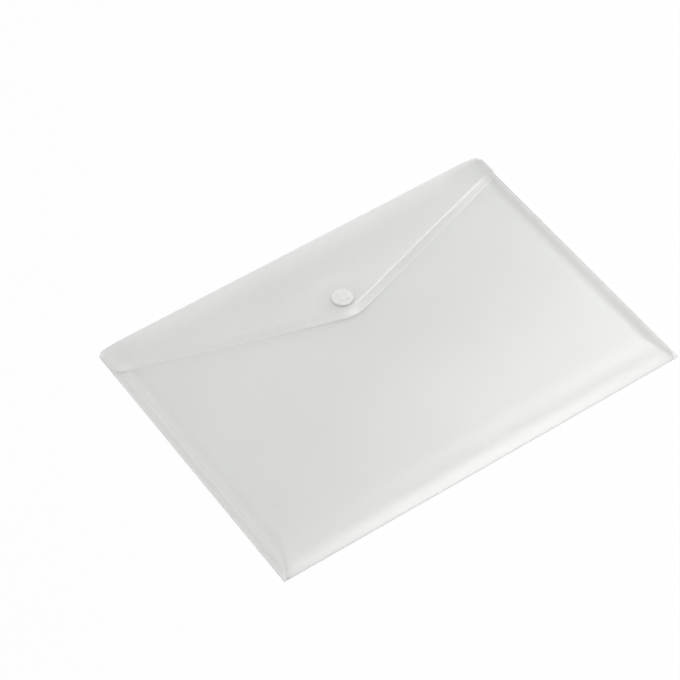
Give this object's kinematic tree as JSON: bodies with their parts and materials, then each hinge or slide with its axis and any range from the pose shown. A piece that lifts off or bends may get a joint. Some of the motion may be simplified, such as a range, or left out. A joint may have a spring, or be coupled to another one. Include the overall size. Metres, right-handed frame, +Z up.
{
  "type": "document wallet",
  "caption": "Flat translucent film document wallet with welded sides, a folded V-shaped flap and a press stud that closes it.",
  "frame": {"origin": "on the table, under the middle of the closed wallet lying on its back", "axes": "+X along the folds, +Y from the bottom fold to the top fold, +Z up through the front panel and flap"},
  "size_m": [0.335, 0.2351, 0.0114],
  "materials": {
    "film": "clear polypropylene film with a fine frosted grain, whitened at cut edges, creases and welds",
    "stud": "moulded natural polypropylene, milky and smooth"
  },
  "bodies": {
    "pocket": {"back_panel": "film", "bottom_fold": "film", "front_panel": "film", "left_side_weld": "film", "right_side_weld": "film", "panel_stud_ball": "stud", "panel_stud_backing": "stud"},
    "spine": {"spine": "film"},
    "flap": {"flap": "film", "flap_stud_cap": "stud", "flap_stud_socket": "stud"}
  },
  "joints": [
    {"name": "spine_crease", "type": "hinge", "parent": "pocket", "child": "spine", "pos_m": [0, 0.11735, 0.00015], "axis": [-1, 0, 0], "range_deg": [0, 87]},
    {"name": "flap_crease", "type": "hinge", "parent": "spine", "child": "flap", "pos_m": [0, 0.11735, 0.0064], "axis": [-1, 0, 0], "range_deg": [0, 87]}
  ],
  "couplings": [
    {"joint": "spine_crease", "follows": "flap_crease", "ratio": 1}
  ]
}
